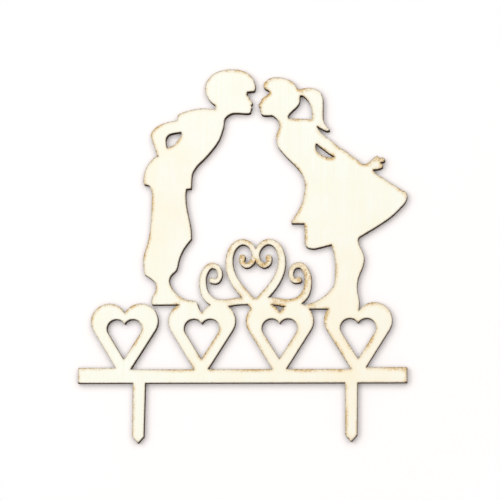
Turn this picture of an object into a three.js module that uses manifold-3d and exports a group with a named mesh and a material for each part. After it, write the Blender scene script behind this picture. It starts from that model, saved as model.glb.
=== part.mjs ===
// Cake topper: two figures on a row of open hearts, cut as one sheet of three-ply wood.
// Millimetres. +Z is up, X runs along the bar, the front face looks towards -Y.
// The origin is the middle of the bar's underside, at half the sheet's thickness.

import * as THREE from 'three';
import { mergeVertices } from 'three/addons/utils/BufferGeometryUtils.js';
import Module from 'manifold-3d';

// Sheet
const sheetThickness = 3;
const veneerThickness = 0.6;
const glueThickness = 0.1;

// Bar along the top of the cake
const barLength = 139.8;
const barHeight = 6.55;
const floorDrop = 0.7;

// Stakes that go down into the cake
const stakeWidth = 5.35;
const stakeShoulderWidth = 5;
const leftStakeLength = 25.6;
const rightStakeLength = 24.8;
const stakePointLength = 2.8;
const leftStakeShare = -0.3115;
const rightStakeShare = 0.3326;

// Row of open hearts on the bar
const heartRowHeight = 27.65;
const heartCount = 4;
const rowLengthShare = 0.92;
const rowShiftShare = -0.004;
const heartWidthShare = 0.87;
const lobeShare = 0.265;
const heartTipShare = 0.16;
const openingShare = 0.52;
const heartRim = 6.8;

// Figures, each in a rectangle that stands on the hearts
const boyHeight = 103.6;
const girlHeight = 100;
const soleSink = 0.6;
const boyWidthShare = 1.458;
const girlWidthShare = 1.954;
const boyFootShare = 0.405;
const girlFootShare = 0.569;

// Scroll ornament between the figures' feet
const scrollHeight = 28;
const scrollStroke = 3.6;
const scrollAxisShare = 0.182;
const scrollHalfShare = 0.707;

// Largest distance of a chord from the curve that it stands for
const chordTolerance = 0.09;

// Distance within which two points are one
const mergeDistance = 0.0002;

// Side of the smallest opening that the cut leaves
const smallestOpening = 1;

// Steps that a smooth line is first cut into: from mark to mark, and round a scroll's bud
const stepsPerMark = 8;
const budSteps = 6;

// Boy, clockwise from the nape. Each stretch runs from one corner to the next one.
const boyShares = [
  [[0.635, 0.845], [0.612, 0.852], [0.588, 0.865], [0.564, 0.88], [0.546, 0.9], [0.541, 0.914],
    [0.543, 0.931], [0.554, 0.946], [0.574, 0.96], [0.604, 0.976], [0.648, 0.988], [0.703, 0.996],
    [0.76, 0.9985], [0.808, 0.998], [0.857, 0.9945], [0.905, 0.986], [0.947, 0.971],
    [0.975, 0.954], [0.991, 0.933], [0.995, 0.915], [0.985, 0.903]],
  [[0.985, 0.903], [0.92, 0.9]],
  [[0.92, 0.9], [0.92, 0.885]],
  [[0.92, 0.885], [0.938, 0.877], [0.95, 0.866], [0.971, 0.853], [0.967, 0.846],
    [0.957, 0.841], [0.966, 0.834], [0.961, 0.8265], [0.957, 0.821], [0.957, 0.815],
    [0.945, 0.8085], [0.92, 0.807], [0.885, 0.808], [0.84, 0.8095], [0.8, 0.8095],
    [0.77, 0.805], [0.742, 0.7965], [0.7235, 0.785], [0.718, 0.772], [0.716, 0.757],
    [0.703, 0.7335], [0.6895, 0.7135], [0.672, 0.693], [0.643, 0.673], [0.608, 0.65],
    [0.568, 0.628], [0.53, 0.6085], [0.4955, 0.5935], [0.465, 0.5745], [0.443, 0.556],
    [0.436, 0.539], [0.434, 0.518], [0.433, 0.489]],
  [[0.433, 0.489], [0.388, 0.487]],
  [[0.388, 0.487], [0.385, 0.481], [0.384, 0.453], [0.3895, 0.425], [0.402, 0.391], [0.4145, 0.3655],
    [0.427, 0.3395], [0.4335, 0.32], [0.439, 0.298], [0.441, 0.2755]],
  [[0.441, 0.2755], [0.418, 0.2605], [0.389, 0.2435], [0.366, 0.226], [0.348, 0.2065], [0.339, 0.195],
    [0.329, 0.178], [0.321, 0.157], [0.311, 0.144], [0.288, 0.133], [0.266, 0.122],
    [0.254, 0.11], [0.252, 0.096], [0.261, 0.082], [0.278, 0.068], [0.303, 0.052],
    [0.334, 0.038], [0.37, 0.027], [0.408, 0.02], [0.445, 0.0165], [0.489, 0.0135],
    [0.512, -0.003], [0.525, -0.022]],
  [[0.525, -0.022], [0.46, -0.05]],
  [[0.46, -0.05], [0.385, -0.03]],
  [[0.385, -0.03], [0.35, 0]],
  [[0.35, 0], [0.1, 0]],
  [[0.1, 0], [0.094, 0.016], [0.1005, 0.0285], [0.111, 0.0405], [0.129, 0.0565], [0.131, 0.074],
    [0.128, 0.09], [0.104, 0.102], [0.062, 0.116], [0.028, 0.127]],
  [[0.028, 0.127], [0.023, 0.139], [0.018, 0.158], [0.014, 0.186], [0.019, 0.2055], [0.031, 0.2305],
    [0.051, 0.259], [0.0575, 0.284], [0.073, 0.332], [0.077, 0.383], [0.079, 0.41],
    [0.082, 0.455], [0.077, 0.476], [0.067, 0.493], [0.052, 0.503], [0.007, 0.508]],
  [[0.007, 0.508], [0.001, 0.517], [0.004, 0.537], [0.0085, 0.5575], [0.026, 0.5815], [0.049, 0.5995],
    [0.076, 0.615], [0.107, 0.626], [0.131, 0.629]],
  [[0.131, 0.629], [0.117, 0.633], [0.11, 0.6465], [0.0975, 0.664], [0.0835, 0.6835], [0.07, 0.702],
    [0.059, 0.717], [0.067, 0.732], [0.088, 0.745], [0.117, 0.7575], [0.167, 0.768],
    [0.226, 0.7765], [0.291, 0.782]],
  [[0.291, 0.782], [0.3, 0.805]],
  [[0.3, 0.805], [0.317, 0.81], [0.36, 0.818], [0.425, 0.826], [0.497, 0.8315], [0.587, 0.83],
    [0.637, 0.828]],
  [[0.637, 0.828], [0.635, 0.845]],
];

// Opening under the boy's bent arm
const boyArmShares = [
  [[0.2085, 0.6625], [0.197, 0.69], [0.199, 0.706], [0.219, 0.7195], [0.258, 0.7265], [0.299, 0.7295],
    [0.333, 0.731]],
  [[0.333, 0.731], [0.337, 0.7225]],
  [[0.337, 0.7225], [0.32, 0.7075], [0.2955, 0.691], [0.2665, 0.6755], [0.231, 0.668],
    [0.2085, 0.6625]],
];

// Girl, clockwise from the corner of the fringe
const girlShares = [
  [[0.043, 0.95], [0.039, 0.957], [0.041, 0.966], [0.049, 0.976], [0.064, 0.984], [0.084, 0.992],
    [0.107, 0.995], [0.133, 0.996], [0.159, 0.994], [0.184, 0.99], [0.209, 0.982],
    [0.2315, 0.9755], [0.247, 0.966], [0.2565, 0.955], [0.266, 0.946], [0.277, 0.94]],
  [[0.277, 0.94], [0.299, 0.943], [0.325, 0.946], [0.347, 0.947], [0.37, 0.945], [0.392, 0.94],
    [0.414, 0.93], [0.4285, 0.917], [0.436, 0.904], [0.4385, 0.887], [0.4395, 0.864],
    [0.439, 0.827], [0.44, 0.8115], [0.4445, 0.7955], [0.4595, 0.781], [0.473, 0.7665],
    [0.483, 0.76]],
  [[0.483, 0.76], [0.481, 0.7555], [0.4675, 0.7525], [0.451, 0.7565], [0.4335, 0.7625],
    [0.418, 0.767], [0.407, 0.773], [0.399, 0.776]],
  [[0.399, 0.776], [0.41, 0.759], [0.432, 0.744], [0.4525, 0.7305], [0.476, 0.719],
    [0.502, 0.707], [0.5255, 0.691], [0.5545, 0.6785], [0.601, 0.658], [0.636, 0.638],
    [0.663, 0.627], [0.681, 0.6155], [0.6985, 0.6065], [0.717, 0.605], [0.737, 0.611],
    [0.7545, 0.621], [0.7735, 0.6315], [0.7895, 0.64], [0.798, 0.643]],
  [[0.798, 0.643], [0.803, 0.638], [0.8155, 0.631]],
  [[0.8155, 0.631], [0.8305, 0.6335], [0.843, 0.6305], [0.8495, 0.624], [0.8465, 0.6175]],
  [[0.8465, 0.6175], [0.8175, 0.611]],
  [[0.8175, 0.611], [0.8355, 0.5975]],
  [[0.8355, 0.5975], [0.833, 0.591], [0.806, 0.583], [0.77, 0.5805]],
  [[0.77, 0.5805], [0.781, 0.568], [0.7985, 0.5575], [0.832, 0.546], [0.858, 0.533],
    [0.885, 0.521], [0.911, 0.51], [0.937, 0.5], [0.9615, 0.488], [0.985, 0.481],
    [0.993, 0.4715], [0.995, 0.462], [0.9915, 0.4515], [0.9825, 0.438], [0.963, 0.421],
    [0.936, 0.4055], [0.9015, 0.3815], [0.8685, 0.3655], [0.8365, 0.35], [0.7935, 0.332],
    [0.75, 0.3145], [0.7165, 0.302], [0.695, 0.293], [0.6805, 0.2865], [0.674, 0.28]],
  [[0.674, 0.28], [0.6745, 0.2685], [0.682, 0.2535], [0.6935, 0.235], [0.7045, 0.22], [0.711, 0.207],
    [0.714, 0.196], [0.711, 0.178], [0.705, 0.161], [0.7005, 0.1515], [0.6905, 0.137],
    [0.6825, 0.122], [0.675, 0.1085], [0.671, 0.095], [0.668, 0.078], [0.669, 0.06],
    [0.6725, 0.0435], [0.677, 0.026], [0.682, 0.009], [0.679, -0.03]],
  [[0.679, -0.03], [0.66, -0.06]],
  [[0.66, -0.06], [0.54, -0.06]],
  [[0.54, -0.06], [0.51, -0.021]],
  [[0.51, -0.021], [0.35, -0.021]],
  [[0.35, -0.021], [0.31, -0.04]],
  [[0.31, -0.04], [0.305, -0.015]],
  [[0.305, -0.015], [0.33, -0.004], [0.365, 0.003], [0.387, 0.008], [0.404, 0.0135],
    [0.426, 0.024], [0.448, 0.032], [0.465, 0.04], [0.4815, 0.052], [0.4995, 0.0655],
    [0.513, 0.078], [0.52, 0.095], [0.522, 0.11], [0.522, 0.13], [0.521, 0.153],
    [0.522, 0.176], [0.5175, 0.196], [0.513, 0.216], [0.505, 0.239], [0.498, 0.2555]],
  [[0.498, 0.2555], [0.4845, 0.254], [0.4625, 0.25], [0.435, 0.246], [0.407, 0.24],
    [0.385, 0.2385], [0.3635, 0.239], [0.3425, 0.243], [0.3285, 0.2505], [0.323, 0.259],
    [0.3225, 0.2765], [0.3205, 0.331], [0.3195, 0.348]],
  [[0.3195, 0.348], [0.2335, 0.349]],
  [[0.2335, 0.349], [0.2335, 0.358], [0.243, 0.369], [0.26, 0.385], [0.279, 0.407],
    [0.295, 0.4285], [0.309, 0.454], [0.315, 0.476], [0.318, 0.496], [0.3215, 0.511],
    [0.3175, 0.531], [0.3135, 0.545], [0.304, 0.559], [0.294, 0.571], [0.283, 0.581],
    [0.268, 0.592], [0.2515, 0.605], [0.2345, 0.6165], [0.2155, 0.6285], [0.1975, 0.642],
    [0.1775, 0.6555], [0.1585, 0.67], [0.144, 0.683], [0.1345, 0.6945], [0.1305, 0.7065],
    [0.1285, 0.721], [0.127, 0.735], [0.132, 0.747], [0.141, 0.76], [0.1475, 0.776],
    [0.147, 0.7895], [0.1405, 0.8005], [0.129, 0.811], [0.113, 0.819], [0.099, 0.826],
    [0.075, 0.827], [0.051, 0.827], [0.033, 0.8285], [0.024, 0.835], [0.025, 0.8415],
    [0.018, 0.849], [0.016, 0.8545], [0.022, 0.861], [0.012, 0.8655], [0.007, 0.8725],
    [0.021, 0.886], [0.028, 0.898], [0.045, 0.909], [0.066, 0.917], [0.0825, 0.926]],
  [[0.0825, 0.926], [0.078, 0.933]],
  [[0.078, 0.933], [0.043, 0.95]],
];

// Opening between the girl's neck and the hanging hair
const girlHairShares = [
  [[0.284, 0.912], [0.299, 0.912], [0.313, 0.906], [0.327, 0.8975], [0.339, 0.8875],
    [0.3475, 0.878], [0.3545, 0.865], [0.3605, 0.854], [0.364, 0.839], [0.364, 0.807]],
  [[0.364, 0.807], [0.208, 0.811]],
  [[0.208, 0.811], [0.206, 0.817], [0.208, 0.824], [0.221, 0.836], [0.236, 0.846],
    [0.2525, 0.856], [0.269, 0.867], [0.2805, 0.88], [0.283, 0.892], [0.284, 0.912]],
];

// Opening under the girl's arm
const girlArmShares = [
  [[0.392, 0.696], [0.399, 0.697], [0.409, 0.69], [0.434, 0.6765], [0.4595, 0.664],
    [0.485, 0.6515], [0.508, 0.6415], [0.516, 0.6395]],
  [[0.516, 0.6395], [0.506, 0.637], [0.4835, 0.6345], [0.465, 0.6385], [0.443, 0.643],
    [0.421, 0.652], [0.406, 0.662], [0.395, 0.67], [0.391, 0.682], [0.392, 0.696]],
];

// Centre lines of the scrolls, one side only: across the half width, up the height,
// and the stroke there as a share of the full stroke
const heartScrollShares = [
  [0, -0.07, 0.95], [0.1, 0.05, 1], [0.25, 0.19, 1.05], [0.385, 0.35, 1], [0.47, 0.54, 0.95],
  [0.47, 0.73, 0.85], [0.395, 0.875, 0.78], [0.255, 0.945, 0.7], [0.11, 0.9, 0.66],
  [0.025, 0.77, 0.64], [0.06, 0.635, 0.6], [0.155, 0.575, 0.58], [0.24, 0.62, 0.62],
  [0.24, 0.7, 0.75],
];
const sideScrollShares = [
  [-0.05, 0.02, 0.8], [0.15, 0.03, 0.8], [0.35, 0.025, 0.85], [0.55, 0, 0.9], [0.74, 0.01, 1],
  [0.89, 0.11, 0.95], [0.955, 0.27, 0.88], [0.94, 0.45, 0.78], [0.83, 0.575, 0.7],
  [0.7, 0.555, 0.64], [0.645, 0.44, 0.6], [0.7, 0.345, 0.62], [0.79, 0.35, 0.72],
];

const wasm = await Module();
wasm.setup();

const rowLength = barLength * rowLengthShare;
const heartPitch = rowLength / (heartCount - 1 + heartWidthShare);
const heartWidth = heartPitch * heartWidthShare;
const lobeRadius = heartWidth * lobeShare;
const lobeOffset = heartWidth / 2 - lobeRadius;
const rowMiddle = barLength * rowShiftShare;
const rowTop = barHeight + heartRowHeight;
const heartTip = barHeight * heartTipShare;
const openingTop = rowTop - heartRim;
const openingTip = openingTop - (rowTop - heartTip) * openingShare;

function heartMiddle(index) {
  return rowMiddle + heartPitch * (index - (heartCount - 1) / 2);
}

// Drops the points that lie nearer to a chord than the tolerance
function thinned(points, tolerance) {
  if (points.length < 3) return points;
  const first = points[0];
  const last = points[points.length - 1];
  const along = last.clone().sub(first);
  const length = along.length();
  let far = 0;
  let distance = 0;
  points.forEach((point, index) => {
    const offset = point.clone().sub(first);
    const away = length > 0 ? Math.abs(along.cross(offset)) / length : offset.length();
    if (away > distance) {
      distance = away;
      far = index;
    }
  });
  if (distance <= tolerance) return [first, last];
  const before = thinned(points.slice(0, far + 1), tolerance);
  const after = thinned(points.slice(far), tolerance);
  return before.slice(0, -1).concat(after);
}

// Points along one stretch: a straight line, or a smooth curve through all its points
function stretchPoints(stretch, place) {
  const marks = stretch.map(place);
  if (marks.length === 2) return marks;
  const curve = new THREE.CatmullRomCurve3(
    marks.map((mark) => new THREE.Vector3(mark.x, mark.y, 0)), false, 'centripetal');
  const fine = curve.getPoints((marks.length - 1) * stepsPerMark);
  return thinned(fine.map((point) => new THREE.Vector2(point.x, point.y)), chordTolerance);
}

function closedOutline(stretches, place) {
  return stretches.flatMap((stretch) => stretchPoints(stretch, place).slice(0, -1));
}

// A plate of the sheet's thickness with this outline, standing upright behind the front face
function plate(points) {
  const plain = new THREE.ExtrudeGeometry(new THREE.Shape(points), {
    depth: sheetThickness, bevelEnabled: false,
  });
  plain.deleteAttribute('normal');
  plain.deleteAttribute('uv');
  const flat = plain.attributes.position;
  for (let index = 0; index < flat.count; index += 1) {
    flat.setXYZ(index, flat.getX(index), -flat.getZ(index), flat.getY(index));
  }
  const joined = mergeVertices(plain, mergeDistance);
  return new wasm.Manifold(new wasm.Mesh({
    numProp: 3,
    vertProperties: new Float32Array(joined.attributes.position.array),
    triVerts: new Uint32Array(joined.index.array),
  }));
}

function figure(stretches, left, width, base, height) {
  return plate(closedOutline(stretches, ([across, up]) => (
    new THREE.Vector2(left + across * width, base + up * height))));
}

// A heart from two round lobes and two flanks that touch them and meet in the tip
function heartPoints(middle, radius, offset, top, tip) {
  const centre = top - radius;
  const drop = centre - tip;
  const reach = Math.hypot(offset, drop);
  const start = Math.PI - Math.acos(offset / radius);
  const lean = Math.atan2(-drop, -offset) + Math.acos(radius / reach);
  const lobe = [];
  const widest = 2 * Math.acos(1 - chordTolerance / radius);
  const steps = Math.ceil(Math.abs(lean - start) / widest);
  for (let step = 0; step <= steps; step += 1) {
    const angle = start + (lean - start) * (step / steps);
    lobe.push(new THREE.Vector2(offset + radius * Math.cos(angle), centre + radius * Math.sin(angle)));
  }
  const points = lobe.map((point) => new THREE.Vector2(middle + point.x, point.y));
  points.push(new THREE.Vector2(middle, tip));
  lobe.slice(1).reverse().forEach((point) => {
    points.push(new THREE.Vector2(middle - point.x, point.y));
  });
  return points;
}

// A band of changing width along a smooth centre line, with a round bud at its end
function scrollPoints(marks, side, axis, halfWidth, base, height) {
  const line = new THREE.CatmullRomCurve3(
    marks.map(([across, up, stroke]) => new THREE.Vector3(
      axis + side * across * halfWidth, base + up * height, stroke * scrollStroke)),
    false, 'centripetal');
  const count = (marks.length - 1) * stepsPerMark;
  const end = line.getPoint(1);
  const out = line.getTangent(1);
  const cap = [];
  for (let step = 1; step < budSteps; step += 1) {
    const turn = Math.atan2(out.y, out.x) + Math.PI * (1 / 2 - step / budSteps);
    cap.push(new THREE.Vector2(
      end.x + Math.cos(turn) * end.z / 2, end.y + Math.sin(turn) * end.z / 2));
  }
  const left = [];
  const right = [];
  for (let step = 0; step <= count; step += 1) {
    const at = line.getPoint(step / count);
    const way = line.getTangent(step / count);
    const across = new THREE.Vector2(-way.y, way.x).normalize().multiplyScalar(at.z / 2);
    left.push(new THREE.Vector2(at.x + across.x, at.y + across.y));
    right.push(new THREE.Vector2(at.x - across.x, at.y - across.y));
  }
  return thinned(left, chordTolerance).concat(cap, thinned(right, chordTolerance).reverse());
}

// Between the hearts the bar's top lies a little lower than at its two ends
const floor = barHeight - floorDrop;
const bar = plate([
  new THREE.Vector2(-barLength / 2, 0),
  new THREE.Vector2(barLength / 2, 0),
  new THREE.Vector2(barLength / 2, barHeight),
  new THREE.Vector2(heartMiddle(heartCount - 1), barHeight),
  new THREE.Vector2(heartMiddle(heartCount - 1), floor),
  new THREE.Vector2(heartMiddle(0), floor),
  new THREE.Vector2(heartMiddle(0), barHeight),
  new THREE.Vector2(-barLength / 2, barHeight),
]);

// A stake narrows a little on its way down and ends in a point; its head is inside the bar
function stake(middle, length) {
  const shoulder = stakePointLength - length;
  return plate([
    new THREE.Vector2(middle - stakeWidth / 2, barHeight / 2),
    new THREE.Vector2(middle - stakeWidth / 2, 0),
    new THREE.Vector2(middle - stakeShoulderWidth / 2, shoulder),
    new THREE.Vector2(middle, -length),
    new THREE.Vector2(middle + stakeShoulderWidth / 2, shoulder),
    new THREE.Vector2(middle + stakeWidth / 2, 0),
    new THREE.Vector2(middle + stakeWidth / 2, barHeight / 2),
  ]);
}

let sheet = bar
  .add(stake(barLength * leftStakeShare, leftStakeLength))
  .add(stake(barLength * rightStakeShare, rightStakeLength));

const openings = [];
for (let index = 0; index < heartCount; index += 1) {
  const middle = heartMiddle(index);
  sheet = sheet.add(plate(heartPoints(middle, lobeRadius, lobeOffset, rowTop, heartTip)));
  openings.push(plate(heartPoints(
    middle, lobeRadius * openingShare, lobeOffset * openingShare, openingTop, openingTip)));
}

const figureBase = rowTop - soleSink;
const boyWidth = heartPitch * boyWidthShare;
const boyLeft = heartMiddle(1) - lobeOffset - boyWidth * boyFootShare;
sheet = sheet.add(figure(boyShares, boyLeft, boyWidth, figureBase, boyHeight));
openings.push(figure(boyArmShares, boyLeft, boyWidth, figureBase, boyHeight));

const girlWidth = heartPitch * girlWidthShare;
const girlLeft = heartMiddle(heartCount - 1) - lobeOffset - girlWidth * girlFootShare;
sheet = sheet.add(figure(girlShares, girlLeft, girlWidth, figureBase, girlHeight));
openings.push(figure(girlHairShares, girlLeft, girlWidth, figureBase, girlHeight));
openings.push(figure(girlArmShares, girlLeft, girlWidth, figureBase, girlHeight));

const scrollAxis = rowMiddle + heartPitch * scrollAxisShare;
const scrollHalf = heartPitch * scrollHalfShare;
[heartScrollShares, sideScrollShares].forEach((marks) => {
  [-1, 1].forEach((side) => {
    const band = scrollPoints(marks, side, scrollAxis, scrollHalf, rowTop, scrollHeight);
    sheet = sheet.add(plate(band));
  });
});

openings.forEach((opening) => {
  sheet = sheet.subtract(opening);
});

// The loops that bound the sheet's front face, each a list of points across and up
function frontLoops(mesh) {
  const corner = (index) => mesh.vertProperties.slice(index * 3, index * 3 + 3);
  const edges = new Map();
  for (let face = 0; face < mesh.triVerts.length; face += 3) {
    const ring = [0, 1, 2].map((step) => mesh.triVerts[face + step]);
    if (ring.every((index) => Math.abs(corner(index)[1] + sheetThickness) < chordTolerance)) {
      ring.forEach((index, step) => {
        const next = ring[(step + 1) % 3];
        const back = `${next} ${index}`;
        if (edges.has(back)) edges.delete(back);
        else edges.set(`${index} ${next}`, [index, next]);
      });
    }
  }
  const after = new Map();
  edges.forEach(([index, next]) => {
    after.set(index, (after.get(index) || []).concat([next]));
  });
  const loops = [];
  while (after.size > 0) {
    const loop = [];
    let index = after.keys().next().value;
    while (after.has(index)) {
      const [across, , up] = corner(index);
      loop.push(new THREE.Vector2(across, up));
      const [next, ...rest] = after.get(index);
      if (rest.length > 0) after.set(index, rest);
      else after.delete(index);
      index = next;
    }
    loops.push(loop);
  }
  return loops;
}

// The same loop without the points that lie on straight lines or close to the one before
function tidied(loop) {
  const middle = Math.floor(loop.length / 2);
  const fine = chordTolerance / 5;
  const first = thinned(loop.slice(0, middle + 1), fine);
  const second = thinned(loop.slice(middle).concat([loop[0]]), fine);
  const corners = first.slice(0, -1).concat(second.slice(0, -1));
  return corners.filter((point, index) => (
    point.distanceTo(corners[(index + 1) % corners.length]) > chordTolerance * 2));
}

function loopArea(loop) {
  return Math.abs(THREE.ShapeUtils.area(loop));
}

const loops = frontLoops(sheet.getMesh()).map(tidied)
  .filter((loop) => loopArea(loop) > smallestOpening * smallestOpening)
  .sort((one, other) => loopArea(other) - loopArea(one));
let clean = plate(loops[0]);
loops.slice(1).forEach((loop) => {
  clean = clean.subtract(plate(loop));
});
const cut = clean.getMesh();
const sheetGeometry = new THREE.BufferGeometry();
sheetGeometry.setAttribute('position', new THREE.Float32BufferAttribute(cut.vertProperties, 3));
sheetGeometry.setIndex(Array.from(cut.triVerts));
sheetGeometry.translate(0, sheetThickness, 0);

const group = new THREE.Group();
group.name = 'cake_topper';

// One layer of the sheet: the same outline between two depths, counted from the front face
function layer(name, front, back, colour, roughness) {
  const geometry = sheetGeometry.toNonIndexed();
  geometry.scale(1, (back - front) / sheetThickness, 1);
  geometry.translate(0, front - sheetThickness / 2, 0);
  geometry.computeVertexNormals();
  const material = new THREE.MeshStandardMaterial({ color: colour, roughness });
  const mesh = new THREE.Mesh(geometry, material);
  mesh.name = name;
  group.add(mesh);
}

const frontGlue = veneerThickness;
const coreFront = frontGlue + glueThickness;
const coreBack = sheetThickness - veneerThickness - glueThickness;
const rearGlueBack = sheetThickness - veneerThickness;

layer('front_veneer', 0, frontGlue, 0xf6efd6, 0.72);
layer('front_glue_line', frontGlue, coreFront, 0x6b4424, 0.6);
layer('core_veneer', coreFront, coreBack, 0xcaa878, 0.8);
layer('rear_glue_line', coreBack, rearGlueBack, 0x6b4424, 0.6);
layer('back_veneer', rearGlueBack, sheetThickness, 0xefe4c6, 0.72);

export default group;
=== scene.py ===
# %% [markdown]
# A laser-cut cake topper
#
# This lesson dresses a flat wooden cake topper: a boy and a girl in silhouette lean together
# over a row of open hearts and a scroll, on a bar with two stakes. A laser cut it in one go from a
# sheet of three-ply wood, so there are no joints and no screws. What makes it look real is all in
# the sheet: the pale face with its faint upright grain, the brown smoke along the cut, the charred
# walls with the plies and the glue between them, and the soft shadow on the table that it lies on.
#
# First we load the solids as a fixed frame. Every piece that we model takes its place from them.

import math

import bmesh
import bpy
from mathutils import Matrix, Quaternion, Vector
from mathutils.bvhtree import BVHTree
from mathutils.kdtree import KDTree


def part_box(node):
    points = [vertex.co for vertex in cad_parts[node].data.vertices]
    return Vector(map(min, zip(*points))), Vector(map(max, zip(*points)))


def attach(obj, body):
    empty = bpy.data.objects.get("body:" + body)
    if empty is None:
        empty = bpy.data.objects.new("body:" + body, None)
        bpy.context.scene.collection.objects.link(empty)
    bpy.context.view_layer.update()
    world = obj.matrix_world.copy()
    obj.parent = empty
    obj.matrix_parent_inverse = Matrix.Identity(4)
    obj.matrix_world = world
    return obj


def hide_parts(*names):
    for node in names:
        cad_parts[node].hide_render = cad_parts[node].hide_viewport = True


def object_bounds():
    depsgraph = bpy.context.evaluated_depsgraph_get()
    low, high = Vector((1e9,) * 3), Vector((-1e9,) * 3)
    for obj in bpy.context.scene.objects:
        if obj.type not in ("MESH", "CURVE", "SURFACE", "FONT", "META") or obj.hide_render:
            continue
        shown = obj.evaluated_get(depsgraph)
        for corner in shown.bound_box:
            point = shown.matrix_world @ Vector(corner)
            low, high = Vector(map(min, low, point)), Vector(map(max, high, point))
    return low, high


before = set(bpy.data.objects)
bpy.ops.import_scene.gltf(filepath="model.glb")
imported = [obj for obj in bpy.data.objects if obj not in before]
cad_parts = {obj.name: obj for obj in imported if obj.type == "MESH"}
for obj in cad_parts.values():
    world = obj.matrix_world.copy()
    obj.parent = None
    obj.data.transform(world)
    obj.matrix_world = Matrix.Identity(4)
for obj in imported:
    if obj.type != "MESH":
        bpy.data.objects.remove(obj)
scene = bpy.context.scene
cad_low, cad_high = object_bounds()
MM = 0.001
print("solids:", sorted(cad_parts))
print("size in mm:", [round(side / MM, 2) for side in cad_high - cad_low])

# %% [markdown]
# The camera
#
# The photograph was taken with a long lens from a little below and to the right: the walls show
# along the lower and right-hand edges, and hardly at all on the far right. So the camera stands
# 6 degrees to the right and 11 degrees below the sheet's square-on direction, 0.92 m away. It is
# turned by two thirds of a degree, because the bar slants that much in the picture. There is no lens
# shift, because the other views would keep it.

# %% Place the camera
camera_side = math.radians(6)
camera_rise = math.radians(-11)
camera_roll = math.radians(0.6763)
camera_distance = 920 * MM
camera_aim = Vector((3.09 * MM, cad_low.y, 57.08 * MM))
focal_length = 155.205
sensor_width = 36

camera_back = Vector((
    math.sin(camera_side) * math.cos(camera_rise),
    -math.cos(camera_side) * math.cos(camera_rise),
    math.sin(camera_rise),
))
lens = bpy.data.cameras.new("camera")
lens.sensor_width = sensor_width
lens.lens = focal_length
camera = bpy.data.objects.new("camera", lens)
camera.location = camera_aim + camera_back * camera_distance
camera.rotation_mode = "QUATERNION"
camera.rotation_quaternion = (
    (-camera_back).to_track_quat("-Z", "Y") @ Quaternion((0, 0, 1), camera_roll)
)
scene.collection.objects.link(camera)
scene.camera = camera
print("camera at", [round(value / MM, 1) for value in camera.location], "mm")

# %% [markdown]
# The light
#
# The shadows in the photograph are soft and about as long as the sheet is thick, on all sides but
# the top, and a little longer on the right. A sun or a small lamp would throw one hard shadow. One
# very large softbox gives the soft ones, hung before the sheet and a little high, with a smaller
# one from the left and a weak fill from all round. Each light is set by its share of the light that
# the sheet's face gets. The shares add up to about one, so that a colour renders about as it is
# written. The fill is a touch warm. One more softbox stands behind the sheet. It doesn't reach the
# front, and only shows when the topper is looked at from behind.

# %% Hang the lights
fill_share = 0.175
fill_tint = (1.1, 0.98, 0.95)
front_share = 0.674
left_share = 0.145
back_share = 0.7
lamp_distance = 1500 * MM
large_box = 2500 * MM
small_box = 1200 * MM
sheet_middle = (cad_low + cad_high) / 2


def softbox(name, share, size, side, rise):
    """A square lamp that aims at the sheet and gives its face that share of a plain light"""
    side = math.radians(side)
    rise = math.radians(rise)
    way = Vector((
        math.sin(side) * math.cos(rise), -math.cos(side) * math.cos(rise), math.sin(rise),
    ))
    half = size / 2 / math.hypot(size / 2, lamp_distance)
    view_factor = 4 / math.pi * half * math.atan(half)
    lamp = bpy.data.lights.new(name, "AREA")
    lamp.shape = "SQUARE"
    lamp.size = size
    lamp.energy = share * math.pi * size ** 2 / (view_factor * abs(way.y))
    holder = bpy.data.objects.new(name, lamp)
    holder.location = sheet_middle + way * lamp_distance
    holder.rotation_mode = "QUATERNION"
    holder.rotation_quaternion = (-way).to_track_quat("-Z", "Y")
    scene.collection.objects.link(holder)
    print(name, "fills", round(view_factor, 2), "of the view and gives", round(lamp.energy, 2), "W")


softbox("front_softbox", front_share, large_box, side=1, rise=9)
softbox("left_softbox", left_share, small_box, side=-37, rise=7)
softbox("back_softbox", back_share, small_box, side=170, rise=12)

# %% [markdown]
# Shader nodes are wired in many places, so one helper makes a node, fills in its settings and
# sets or links its sockets. A socket gets a link where it is handed another node's output.

# %% A helper for nodes


def put(tree, kind, sockets=None, **settings):
    """Adds one shader node. Its sockets are given by name or number."""
    made = tree.nodes.new("ShaderNode" + kind)
    for name, value in settings.items():
        setattr(made, name, value)
    for name, value in (sockets or {}).items():
        if isinstance(value, bpy.types.NodeSocket):
            tree.links.new(value, made.inputs[name])
        else:
            made.inputs[name].default_value = value
    return made


def reckon(tree, operation, *values):
    """One step of arithmetic on values or outputs"""
    step = put(tree, "Math", dict(enumerate(values)), operation=operation)
    return step.outputs[0]


def blended(tree, factor, first, second):
    """Two colours mixed by a factor"""
    both = put(tree, "Mix", {0: factor, 6: first, 7: second}, data_type="RGBA")
    return both.outputs[2]


def spread(tree, value, low, high, to_low=0.0, to_high=1.0):
    """A value moved from one range to another and kept inside it"""
    sockets = {0: value, 1: low, 2: high, 3: to_low, 4: to_high}
    return put(tree, "MapRange", sockets).outputs[0]


# %% [markdown]
# The world does two jobs. For the light on the object it is the weak fill. For a ray from the
# camera, or one that gloss or glass would send there, it is plain white, as the photograph's
# background is.

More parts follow.
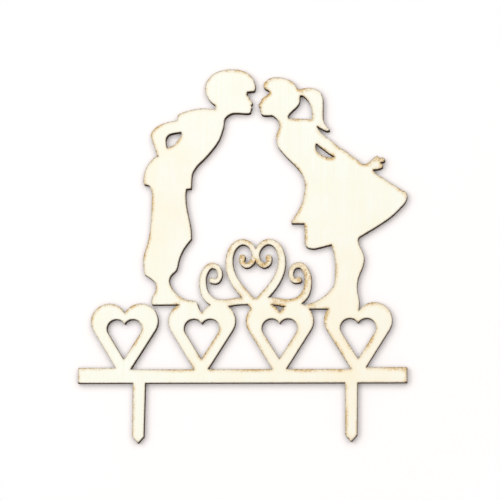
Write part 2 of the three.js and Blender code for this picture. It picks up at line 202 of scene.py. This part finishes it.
# %% Fill light and white background
world = bpy.data.worlds.new("studio")
world.use_nodes = True
scene.world = world
sky = world.node_tree
sky.nodes.clear()
ray = put(sky, "LightPath")
seen = reckon(sky, "MAXIMUM", ray.outputs["Is Camera Ray"], ray.outputs["Is Glossy Ray"])
seen = reckon(sky, "MAXIMUM", seen, ray.outputs["Is Transmission Ray"])
fill = put(sky, "Background", {"Color": (*fill_tint, 1), "Strength": fill_share})
white = put(sky, "Background", {"Color": (1, 1, 1, 1), "Strength": 1.0})
either = put(sky, "MixShader", {0: seen, 1: fill.outputs[0], 2: white.outputs[0]})
put(sky, "OutputWorld", {"Surface": either.outputs[0]})
scene.view_settings.view_transform = "Standard"

# %% [markdown]
# The table
#
# In the photograph the topper lies on a white surface. Here it stands upright, so the table is
# an upright card close behind its back. It is a plain grid of one face, turned upright, and it
# throws no light and no shadow on the topper.

# %% Lay the table
table_half = 150 * MM
table_gap = 0.02 * MM

table_mesh = bmesh.new()
bmesh.ops.create_grid(table_mesh, x_segments=1, y_segments=1, size=table_half)
white_table_middle = Vector((sheet_middle.x, cad_high.y + table_gap, sheet_middle.z))
upright = Matrix.Translation(white_table_middle)
bmesh.ops.transform(
    table_mesh, matrix=upright @ Matrix.Rotation(math.pi / 2, 4, "X"), verts=table_mesh.verts)
table_data = bpy.data.meshes.new("white_table")
table_mesh.to_mesh(table_data)
table_mesh.free()
white_table = bpy.data.objects.new("white_table", table_data)
scene.collection.objects.link(white_table)
white_table.visible_diffuse = False
white_table.visible_glossy = False
white_table.visible_transmission = False
white_table.visible_shadow = False
print("table normal:", [round(value) for value in table_data.polygons[0].normal])

# %% [markdown]
# Next to the sheet's edges the card shows the soft shadow, which is a little warm. Away from the
# sheet it is as white as the world. It fades out before its own edges, so that they never show, and
# its back is clear, so that the topper's back can be seen.

# %% Give the table its finish
table_tint = (1.06, 1.03, 1.02)
fade_start = 115 * MM

paper = bpy.data.materials.new("white_table")
paper.use_nodes = True
surface = paper.node_tree
surface.nodes.clear()
seen_at = put(surface, "NewGeometry")
away = put(surface, "VectorMath", {
    0: seen_at.outputs["Position"], 1: white_table_middle}, operation="DISTANCE")
fading = spread(surface, away.outputs["Value"], fade_start, table_half)
gone = reckon(surface, "MAXIMUM", seen_at.outputs["Backfacing"], fading)
matt = put(surface, "BsdfDiffuse", {"Color": (*table_tint, 1)})
clear = put(surface, "BsdfTransparent")
front_only = put(surface, "MixShader", {0: gone, 1: matt.outputs[0], 2: clear.outputs[0]})
put(surface, "OutputMaterial", {"Surface": front_only.outputs[0]})
table_data.materials.append(paper)
print("the card fades from", round(fade_start / MM), "to", round(table_half / MM), "mm")

# %% [markdown]
# The cut line
#
# The solids hold the outline as short straight steps. The laser's beam ran in smooth curves. A
# subdivided mesh would round the sharp corners as well, so we read the steps back as knots and lay
# a curve through them, which can keep a corner. The front face of a ply has the outline as its open
# edges: we keep those edges of a merged copy and walk round each loop.

# %% Read the outline from a ply
weld = 0.001 * MM


def outline_loops(node):
    """The closed lines round a ply's front face, each a list of points across and up, in mm"""
    ply = bmesh.new()
    ply.from_mesh(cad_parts[node].data)
    bmesh.ops.remove_doubles(ply, verts=ply.verts, dist=weld)
    ply.normal_update()
    turned_away = [face for face in ply.faces if face.normal.y > -0.5]
    bmesh.ops.delete(ply, geom=turned_away, context="FACES")
    inner = [edge for edge in ply.edges if len(edge.link_faces) == 2]
    bmesh.ops.delete(ply, geom=inner, context="EDGES")
    waiting = set(ply.verts)
    loops = []
    while waiting:
        vert = min(waiting, key=lambda one: one.index)
        loop = []
        while vert in waiting:
            waiting.discard(vert)
            loop.append(Vector((vert.co.x, vert.co.z)) / MM)
            beside = [edge.other_vert(vert) for edge in vert.link_edges]
            vert = next((one for one in beside if one in waiting), vert)
        loops.append(loop)
    ply.free()
    return loops


loops = outline_loops("front_veneer")
print("loops:", len(loops), "points:", sum(len(loop) for loop in loops))

# %% [markdown]
# A knot is a corner where the line turns sharply, and part of a curve where a short step turns a
# little. A long step beside a short one is a straight line that runs into a curve, so the knot's
# handle on that side points straight along it. Blender works out the other handles by itself.

# %% Lay a smooth curve through the knots
sharpest_bend = math.radians(60)
largest_sagitta = 0.13
straight_length = 6
straight_ratio = 2.5
steps_between_knots = 5


def handle_types(before, knot, after):
    """The kinds of handle on the two sides of a knot: VECTOR is straight, AUTO is smooth"""
    into = knot - before
    out = after - knot
    turn = into.angle(out)
    sagitta = min(into.length, out.length) / 2 * math.tan(turn / 4)
    if turn > sharpest_bend or sagitta > largest_sagitta:
        return "VECTOR", "VECTOR"
    kinds = []
    for near, far in ((into.length, out.length), (out.length, into.length)):
        is_straight = near > straight_length and near > straight_ratio * far
        kinds.append("VECTOR" if is_straight else "AUTO")
    return tuple(kinds)


def cut_line(loops):
    """A flat filled curve in mm with one closed spline per loop"""
    line = bpy.data.curves.new("cut_line", "CURVE")
    line.dimensions = "2D"
    line.fill_mode = "FRONT"
    line.resolution_u = steps_between_knots
    for loop in loops:
        spline = line.splines.new("BEZIER")
        spline.bezier_points.add(len(loop) - 1)
        spline.use_cyclic_u = True
        for index, place in enumerate(loop):
            knot = spline.bezier_points[index]
            knot.co = (place.x, place.y, 0)
            after = loop[(index + 1) % len(loop)]
            kinds = handle_types(loop[index - 1], place, after)
            knot.handle_left_type, knot.handle_right_type = kinds
    return line


def filled_face(line):
    """The curve's inside as one layer of faces that look towards -Y, in metres at y = 0"""
    holder = bpy.data.objects.new("cut_line", line)
    scene.collection.objects.link(holder)
    bpy.context.view_layer.update()
    depsgraph = bpy.context.evaluated_depsgraph_get()
    flat = bpy.data.meshes.new_from_object(holder.evaluated_get(depsgraph))
    bpy.data.objects.remove(holder)
    bpy.data.curves.remove(line)
    face = bmesh.new()
    face.from_mesh(flat)
    bpy.data.meshes.remove(flat)
    bmesh.ops.remove_doubles(face, verts=face.verts, dist=weld / MM)
    stand = Matrix.Rotation(math.pi / 2, 4, "X") @ Matrix.Scale(MM, 4)
    bmesh.ops.transform(face, matrix=stand, verts=face.verts)
    face.normal_update()
    return face


face = filled_face(cut_line(loops))
area = sum(polygon.calc_area() for polygon in face.faces)
looks = sum((polygon.normal for polygon in face.faces), Vector()).normalized()
print("face:", len(face.verts), "points,", len(face.faces), "faces,",
      round(area / MM ** 2), "mm2, looks to", [round(value) for value in looks])

# %% [markdown]
# The visible face
#
# Sanding has broken the rim of the real face by about a twentieth of a millimetre. A bevel could do
# that once the walls are there, but the layer is easier to handle while it is flat: a line is drawn
# inside its whole rim, and the rim itself is pushed back. The new line can pass the long thin
# triangles that fill the face, so the face is filled again inside it.

# %% Break the rim
edge_break = 0.05 * MM


def rim_edges(mesh):
    """The open edges of a layer of faces"""
    return [edge for edge in mesh.edges if len(edge.link_faces) == 1]


def inset_ring(layer, inset):
    """Draws a line inside the whole rim of a layer and gives the ring of faces between them"""
    return bmesh.ops.inset_region(
        layer, faces=layer.faces[:], use_boundary=True, use_even_offset=True,
        thickness=inset, depth=0)["faces"]


def break_rim(face):
    """Insets the whole layer, fills it anew and pushes its outer line back as a narrow chamfer"""
    ring = inset_ring(face, edge_break)
    outer_line = set(rim_edges(face))
    bmesh.ops.delete(face, geom=list(set(face.faces) - set(ring)), context="FACES")
    inner_line = [edge for edge in rim_edges(face) if edge not in outer_line]
    bmesh.ops.triangle_fill(face, use_beauty=True, edges=inner_line, normal=Vector((0, -1, 0)))
    for vert in {vert for edge in outer_line for vert in edge.verts}:
        vert.co.y += edge_break


plain_face = face.copy()
break_rim(face)
print("face with a broken rim:", len(face.verts), "points,", len(face.faces), "faces")

# %% [markdown]
# The face has to carry values that change from point to point, such as the smoke. Its triangles are
# long and thin and have no points inside, and they would stay so if they were subdivided. So a fine
# grid is cut into the layer. Hundreds of cuts through the whole face would be slow, so each cut
# halves a strip, and the next two cuts only touch its halves. Between the upright and the level
# cuts, the odd edges inside the strips are dissolved, so that each square is one face.

# %% Cut a grid into the face
grid_pitch = 0.8 * MM
flatness = math.radians(0.05)
grid_slack = 1e-4


def cut_strip(face, part, axis, first, last):
    """Cuts some faces along the grid's lines from first to last, by halves"""
    if first > last or not part:
        return
    middle = (first + last) // 2
    across = Vector((axis == 0, 0, axis == 2))
    edges = {edge for polygon in part for edge in polygon.edges}
    verts = {vert for edge in edges for vert in edge.verts}
    cut = bmesh.ops.bisect_plane(
        face, geom=[*verts, *edges, *part], dist=weld / 10,
        plane_co=across * middle * grid_pitch, plane_no=across)
    faces = {one for one in cut["geom"] if isinstance(one, bmesh.types.BMFace)}
    below = [one for one in faces
             if one.calc_center_median()[axis] < middle * grid_pitch]
    above = list(faces - set(below))
    cut_strip(face, below, axis, first, middle - 1)
    cut_strip(face, above, axis, middle + 1, last)


def clear_strips(face, axis):
    """Dissolves the flat edges that don't run along the grid's lines across this axis"""
    face.normal_update()
    odd = []
    for edge in face.edges:
        one, other = (vert.co[axis] / grid_pitch for vert in edge.verts)
        on_grid = abs(one - other) < grid_slack and abs(one - round(one)) < grid_slack
        if len(edge.link_faces) == 2 and edge.calc_face_angle(0) < flatness and not on_grid:
            odd.append(edge)
    bmesh.ops.dissolve_edges(face, edges=odd, use_verts=True)


def cut_grid(face):
    """Cuts the layer into squares, with odd shapes only along its rim"""
    for axis in (0, 2):
        first = math.floor(cad_low[axis] / grid_pitch) + 1
        last = math.ceil(cad_high[axis] / grid_pitch) - 1
        cut_strip(face, face.faces[:], axis, first, last)
        if axis == 0:
            clear_strips(face, axis)
    face.normal_update()


cut_grid(face)
print("gridded face:", len(face.verts), "points,", len(face.faces), "faces")

# %% [markdown]
# Where the smoke went
#
# The laser burns the walls of the cut, and its smoke stains the face next to them. The stains could
# be painted by hand, but here they are worked out, so that they follow any outline. Three values on
# every point of the face say how much. The first is the distance to the nearest cut, for the thin
# burnt line at the rim. The second is the smoke. Each bit of the cut stains what lies around it,
# so narrow strokes, with a cut on both sides, get more, and the right-hand half of the sheet has
# more than the left. The third is the lee: both stains are stronger on edges that look up and to
# the left, as if the cutter's draught had blown that way.

# %% Measure distance and smoke on every point
smoke_reach = 0.85 * MM
smoke_limit = 3.2 * MM
draught = Vector((-0.6, 0, 0.8))
draught_force = 0.6
right_force = 0.35


def outward_of(edge):
    """The direction in which an edge of the rim looks out of the wood"""
    one, other = (vert.co for vert in edge.verts)
    outward = (other - one).cross(Vector((0, 1, 0))).normalized()
    if outward.dot(edge.link_faces[0].calc_center_median() - (one + other) / 2) > 0:
        outward.negate()
    return outward


def mark_cut(face):
    """Writes to each point the distance to the cut, in mm, the lee there and the smoke"""
    distance = face.verts.layers.float.new("cut_distance")
    lee = face.verts.layers.float.new("lee")
    smoke = face.verts.layers.float.new("smoke")
    through_sheet = Vector((0, cad_high.y, 0))
    ends = []
    sides = []
    stains = []
    lees = []
    for edge in rim_edges(face):
        one, other = (vert.co for vert in edge.verts)
        middle = (one + other) / 2
        sheltered = outward_of(edge).dot(draught)
        lees.append(sheltered)
        weight = (other - one).length / (2 * smoke_reach)
        weight *= 1 + draught_force * sheltered
        weight *= 1 + right_force * middle.x / cad_high.x
        stains.append((middle, weight))
        sides.append(tuple(range(len(ends), len(ends) + 4)))
        ends += [one - through_sheet, other - through_sheet,
                 other + through_sheet, one + through_sheet]
    walls = BVHTree.FromPolygons(ends, sides)
    cuts = KDTree(len(stains))
    for index, (middle, weight) in enumerate(stains):
        cuts.insert(middle, index)
    cuts.balance()
    for vert in face.verts:
        index, away = walls.find_nearest(vert.co)[2:]
        vert[distance] = away / MM
        vert[lee] = lees[index]
        near = cuts.find_range(vert.co, smoke_limit)
        vert[smoke] = sum(stains[index][1] * math.exp(-away / smoke_reach)
                          for place, index, away in near)
    values = [vert[smoke] for vert in face.verts]
    print("smoke from", round(min(values), 2), "to", round(max(values), 2))


mark_cut(face)

# %% [markdown]
# A ply as a solid
#
# Every ply is made in the same way: its visible layer of faces is put in place, the open rim is
# drawn back to make the walls, and the open back is filled. A Solidify modifier would make walls
# too, but it would copy the fine grid to the back, where nobody sees it. The glue films and the
# core show only their walls, so the plain face is enough for them. The glue burns away a little
# faster than the wood, so its films are inset by a few hundredths of a millimetre.

# %% Make a ply from a layer of faces
glue_recess = 0.03 * MM


def ply_solid(layer, near, far):
    """A closed solid from a layer at depth near to a plain back at depth far"""
    ply = layer.copy()
    bmesh.ops.translate(ply, vec=Vector((0, near, 0)), verts=ply.verts)
    walls = bmesh.ops.extrude_edge_only(ply, edges=rim_edges(ply))["geom"]
    back_points = {part for part in walls if isinstance(part, bmesh.types.BMVert)}
    for vert in back_points:
        vert.co.y = far
    back_line = [part for part in walls
                 if isinstance(part, bmesh.types.BMEdge) and set(part.verts) <= back_points]
    bmesh.ops.triangle_fill(ply, use_beauty=True, edges=back_line, normal=Vector((0, 1, 0)))
    bmesh.ops.recalc_face_normals(ply, faces=ply.faces)
    return ply


def recessed(layer, inset):
    """A copy of the layer that is smaller by the inset all round"""
    smaller = layer.copy()
    bmesh.ops.delete(smaller, geom=inset_ring(smaller, inset), context="FACES")
    return smaller


def turned_round(layer):
    """The layer as seen in a mirror behind the sheet, for the back face"""
    other = layer.copy()
    bmesh.ops.scale(other, vec=Vector((1, -1, 1)), verts=other.verts)
    bmesh.ops.reverse_faces(other, faces=other.faces)
    return other


# %% [markdown]
# A finished ply becomes an object at the origin. Its walls and face are shaded smooth, so that the
# outline's short steps don't show, but its edges stay sharp. It gets its finish and is hung on the
# part's one body, and the solid that it stands for is hidden.

# %% Hang a ply as a piece
sharp_edge = math.radians(30)


def hang_piece(name, ply, finish, node):
    """Turns a ply's mesh into a piece that stands for a solid, smooth but for its sharp edges"""
    open_edges = sum(len(edge.link_faces) != 2 for edge in ply.edges)
    volume = ply.calc_volume()
    mesh = bpy.data.meshes.new(name)
    ply.to_mesh(mesh)
    ply.free()
    mesh.materials.append(finish)
    mesh.shade_smooth()
    mesh.set_sharp_from_angle(angle=sharp_edge)
    piece = bpy.data.objects.new(name, mesh)
    scene.collection.objects.link(piece)
    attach(piece, "root")
    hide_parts(node)
    mesh.calc_loop_triangles()
    print(name, len(mesh.loop_triangles), "triangles,", open_edges, "open edges,",
          round(volume / MM ** 3), "mm3")


# %% [markdown]
# Colours as the photograph shows them
#
# The colours below are written as in a picture, from 0 to 255, and turned into the even scale
# that Blender works with.

# %% Turn picture colours into shader colours


def paint(red, green, blue):
    """A picture colour as a shader colour"""
    shares = [value / 255 for value in (red, green, blue)]
    return tuple(((share + 0.055) / 1.055) ** 2.4 for share in shares) + (1,)


# %% [markdown]
# Veneer
#
# The faces are a pale veneer whose grain runs upright. A picture of wood could be laid on them, but
# noise stays sharp close up and has no seams. Stretched along the height, it gives fine streaks, a
# broad and very faint figure, and here and there a short pore. Soft blotches warm the colour. The
# noise reads Object coordinates, which are in metres here, so each size below is a real one.

# %% Draw the grain
figure_size = (4.5 * MM, 8 * MM, 75 * MM)
pore_size = (0.16 * MM, 0.5 * MM, 1.6 * MM)
pore_brown = paint(214, 184, 134)


def noise_at(tree, size, detail, roughness, offset):
    """Noise with features of this size, in metres, the same in all directions or one per axis"""
    sizes = size if isinstance(size, tuple) else (size, size, size)
    where = put(tree, "TexCoord").outputs["Object"]
    stretch = put(tree, "Mapping", {
        "Vector": where, "Scale": tuple(1 / side for side in sizes),
        "Location": (offset, offset, offset)}, vector_type="POINT")
    noise = put(tree, "TexNoise", {
        "Vector": stretch.outputs[0], "Scale": 1.0, "Detail": detail, "Roughness": roughness})
    return noise.outputs[0]


def clean_wood(tree, pale, streak, warm, streaks, blotches, offset):
    """The colour of the veneer before the laser"""
    figure = spread(tree, noise_at(tree, figure_size, 2, 0.5, offset + 3), 0.42, 0.7)
    pores = spread(tree, noise_at(tree, pore_size, 1, 0.5, offset + 5), 0.7, 0.78)
    colour = blended(tree, reckon(tree, "MULTIPLY", streaks, 0.55), pale, streak)
    colour = blended(tree, reckon(tree, "MULTIPLY", figure, 0.3), colour, streak)
    colour = blended(tree, reckon(tree, "MULTIPLY", blotches, 0.6), colour, warm)
    return blended(tree, reckon(tree, "MULTIPLY", pores, 0.25), colour, pore_brown)


# %% [markdown]
# Thin smoke has settled on the wood as a cream haze. It covers the narrow strokes, where the
# measured smoke is thick, and very faintly two broad patches: the boy's waist and the lower right.
# Each patch has a middle, a reach and a share of cream at its middle, and fades outwards.

# %% Lay the haze
smoke_haze = 0.31
haze_patches = (
    (Vector((-30, 0, 76)) * MM, 40 * MM, 0.3),
    (Vector((50, 0, 5)) * MM, 90 * MM, 0.4),
)
haze_cream = paint(254, 238, 205)


def with_haze(tree, colour, smoke, blotches):
    """A colour under the cream haze"""
    haze = spread(tree, smoke, 0.1, 1.1, 0, smoke_haze)
    uneven = spread(tree, blotches, 0, 1, 0.7, 1.3)
    place = put(tree, "TexCoord").outputs["Object"]
    for middle, reach, share in haze_patches:
        away = put(tree, "VectorMath", {0: place, 1: middle}, operation="DISTANCE")
        patch = spread(tree, away.outputs["Value"], reach, 0, 0, share)
        haze = reckon(tree, "ADD", haze, reckon(tree, "MULTIPLY", patch, uneven))
    return blended(tree, haze, colour, haze_cream)


# %% [markdown]
# Thicker smoke leaves tan smudges, on narrow strokes and along the cuts that look up and to the
# left. Fine noise breaks them up, and coarse noise gives some stretches of the cut more than others.
# Brown specks stand where the smoke is thickest. A smudge's reach is in mm from the cut, as the
# distance was measured.

# %% Add smudges and specks
smudge_size = 1.7 * MM
smudge_reach = 1.6
smudge_share = 0.35
smudge_tan = paint(231, 205, 153)
speck_brown = paint(184, 150, 104)


def with_smudges(tree, colour, cut, smoke, lee, zones, smoke_force, offset):
    """A colour under the tan smudges"""
    patches = spread(tree, noise_at(tree, smudge_size, 3, 0.6, offset + 9), 0.36, 0.64, 0.12, 1.15)
    along_cut = reckon(
        tree, "MULTIPLY", spread(tree, cut, smudge_reach, 0), spread(tree, lee, -0.1, 0.7))
    smudges = reckon(tree, "POWER", spread(tree, smoke, 0.3, 1.15), 1.1)
    smudges = reckon(tree, "ADD", smudges, reckon(tree, "MULTIPLY", along_cut, smudge_share))
    smudges = reckon(tree, "MULTIPLY", smudges, patches)
    smudges = reckon(tree, "MULTIPLY", smudges, zones)
    smudges = reckon(tree, "MINIMUM", reckon(tree, "MULTIPLY", smudges, smoke_force), 1)
    return blended(tree, smudges, colour, smudge_tan)


def with_specks(tree, colour, smoke, zones, specks):
    """A colour under the brown specks"""
    scorched = reckon(tree, "MULTIPLY", specks, spread(tree, smoke, 0.5, 1.2))
    scorched = reckon(tree, "MULTIPLY", scorched, zones)
    return blended(tree, scorched, colour, speck_brown)


# %% [markdown]
# The char comes a little onto the face, by a few hundredths of a millimetre on the upper left and
# by a quarter of a millimetre on the lower right. On the lower right that dark strip is partly char
# and partly painted shade, for the shade along the edges on the side where the shadows fall. From
# there a browned line fades into the wood, 0.4 mm wide on the lower right and 0.8 mm on the upper
# left.

# %% Brown the rim
char_up_left = 0.03
# On the lower right the dark strip on the face is partly char and partly painted shade.
char_and_shade_down_right = 0.24
rim_up_left = 0.8
rim_down_right = 0.42
rim_fade = 1.1
rim_brown = paint(112, 78, 42)


def with_brown_rim(tree, colour, cut, smoke, lee, specks, char_and_shade_edge):
    """A colour under the browned line, which begins where the dark strip of char and painted shade
    ends
    """
    rim_width = spread(tree, lee, -0.3, 0.5, rim_down_right, rim_up_left)
    rim_end = reckon(tree, "ADD", char_and_shade_edge, rim_width)
    browned = reckon(tree, "POWER", spread(tree, cut, rim_end, char_and_shade_edge), rim_fade)
    browned = reckon(tree, "MULTIPLY", browned, spread(tree, specks, 0, 1, 0.42, 0.96))
    browned = reckon(tree, "MULTIPLY", browned, spread(tree, lee, -0.6, 0.7, 0.85, 1))
    browned = reckon(tree, "MULTIPLY", browned, spread(tree, smoke, 0.3, 1.2, 0.75, 1))
    return blended(tree, browned, colour, rim_brown)


# %% [markdown]
# Now the finish itself, with all its layers from the grain up to the char. On the walls, where the
# distance to the cut is nought, all is char. Its streaks run through the thickness, as the beam
# did, and it hardly shines. The back gets the same finish in a yellower wood with less smoke.

# %% Make the finish for both veneers
streak_size = (0.42 * MM, 1.2 * MM, 17 * MM)
blotch_size = 16 * MM
zone_size = 11 * MM
speck_size = 0.75 * MM
char_streak_size = (0.3 * MM, 5 * MM, 0.3 * MM)
char_dark = paint(40, 23, 8)
char_light = paint(74, 46, 20)
char_roughness = 0.86
relief = 0.02 * MM
veneer_gloss = 0.08


def veneer_finish(name, pale, streak, warm, smoke_force, offset):
    """A veneer's face with its stains, and its charred walls"""
    finish = bpy.data.materials.new(name)
    finish.use_nodes = True
    tree = finish.node_tree
    tree.nodes.clear()
    cut = put(tree, "Attribute", attribute_name="cut_distance").outputs["Fac"]
    smoke = put(tree, "Attribute", attribute_name="smoke").outputs["Fac"]
    lee = put(tree, "Attribute", attribute_name="lee").outputs["Fac"]
    streaks = spread(tree, noise_at(tree, streak_size, 4, 0.6, offset), 0.38, 0.72)
    blotches = spread(tree, noise_at(tree, blotch_size, 3, 0.55, offset + 7), 0.4, 0.7)
    zones = spread(tree, noise_at(tree, zone_size, 2, 0.5, offset + 11), 0.42, 0.6, 0.15, 1.3)
    specks = spread(tree, noise_at(tree, speck_size, 2, 0.6, offset + 13), 0.5, 0.66)
    # How far the dark strip reaches onto the face. It is wider on edges that look down and to the
    # right, where it is partly char and partly painted shade.
    char_and_shade_edge = spread(tree, lee, 0.1, -0.3, char_up_left, char_and_shade_down_right)

    colour = clean_wood(tree, pale, streak, warm, streaks, blotches, offset)
    colour = with_haze(tree, colour, smoke, blotches)
    colour = with_smudges(tree, colour, cut, smoke, lee, zones, smoke_force, offset)
    colour = with_specks(tree, colour, smoke, zones, specks)
    colour = with_brown_rim(tree, colour, cut, smoke, lee, specks, char_and_shade_edge)

    ripples = noise_at(tree, char_streak_size, 2, 0.6, offset)
    char = blended(tree, spread(tree, ripples, 0.35, 0.7), char_dark, char_light)
    # The walls are all char. The strip on the face is char, and on the lower right it is partly
    # painted shade.
    charred = spread(tree, cut, char_and_shade_edge, 0)
    colour = blended(tree, charred, colour, char)

    height = blended(tree, charred, streaks, ripples)
    bump = put(tree, "Bump", {"Height": height, "Distance": relief, "Strength": 0.6})
    dull = spread(tree, streaks, 0, 1, 0.6, 0.74)
    dull = reckon(tree, "MAXIMUM", dull, reckon(tree, "MULTIPLY", charred, char_roughness))
    wood = put(tree, "BsdfPrincipled", {
        "Base Color": colour, "Roughness": dull, "Normal": bump.outputs[0],
        "Specular IOR Level": veneer_gloss})
    put(tree, "OutputMaterial", {"Surface": wood.outputs[0]})
    print(name, "has", len(tree.nodes), "nodes")
    return finish


front_finish = veneer_finish(
    "front_veneer", pale=paint(252, 255, 247), streak=paint(249, 249, 225),
    warm=paint(251, 251, 231), smoke_force=1, offset=0)
back_finish = veneer_finish(
    "back_veneer", pale=paint(247, 238, 214), streak=paint(236, 218, 180),
    warm=paint(240, 226, 190), smoke_force=0.6, offset=20)

# %% [markdown]
# Core and glue
#
# Of the core and the glue films only the cut's walls show, so one recipe does for both: two tones
# of char, mixed by noise. The core's grain lies across that of the faces and it is matt. The glue is
# darker, speckled rather than streaked, and has a slight gloss.

# %% Finishes for the core and the glue
core_streak_size = (9 * MM, 0.35 * MM, 0.3 * MM)
glue_speck_size = (0.5 * MM, 0.1 * MM, 0.5 * MM)


def charred_finish(name, dark, light, size, rough, shine, offset):
    """A charred wall: two tones mixed by streaks of this size and by the beam's ripples"""
    finish = bpy.data.materials.new(name)
    finish.use_nodes = True
    tree = finish.node_tree
    tree.nodes.clear()
    grain = spread(tree, noise_at(tree, size, 3, 0.6, offset), 0.35, 0.7)
    ripples = spread(tree, noise_at(tree, char_streak_size, 2, 0.6, offset), 0.35, 0.7)
    mixed = reckon(tree, "MULTIPLY", reckon(tree, "ADD", grain, ripples), 0.5)
    colour = blended(tree, mixed, dark, light)
    bump = put(tree, "Bump", {"Height": mixed, "Distance": relief, "Strength": 0.7})
    char = put(tree, "BsdfPrincipled", {
        "Base Color": colour, "Roughness": rough, "Normal": bump.outputs[0],
        "Specular IOR Level": shine})
    put(tree, "OutputMaterial", {"Surface": char.outputs[0]})
    print(name, "has", len(tree.nodes), "nodes")
    return finish


core_finish = charred_finish(
    "core_veneer", dark=paint(40, 23, 8), light=paint(78, 50, 22), size=core_streak_size,
    rough=0.88, shine=0.04, offset=30)
glue_finish = charred_finish(
    "glue_line", dark=paint(26, 16, 8), light=paint(48, 31, 15), size=glue_speck_size,
    rough=0.55, shine=0.2, offset=40)

# %% [markdown]
# Stack the sheet
#
# The five layers lie face to face, each at the depth of its solid.

# %% Make the five layers


def depths(node):
    """How deep a ply's front and back lie in the sheet"""
    low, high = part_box(node)
    return low.y, high.y


near, far = depths("front_veneer")
hang_piece("front_face_veneer", ply_solid(face, near, far),
           front_finish, "front_veneer")
near, far = depths("back_veneer")
hang_piece("back_face_veneer", ply_solid(turned_round(face), far, near),
           back_finish, "back_veneer")
near, far = depths("core_veneer")
hang_piece("core_ply", ply_solid(plain_face, near, far),
           core_finish, "core_veneer")
for name, node in (("front_glue_film", "front_glue_line"), ("rear_glue_film", "rear_glue_line")):
    near, far = depths(node)
    hang_piece(name, ply_solid(recessed(plain_face, glue_recess), near, far),
               glue_finish, node)
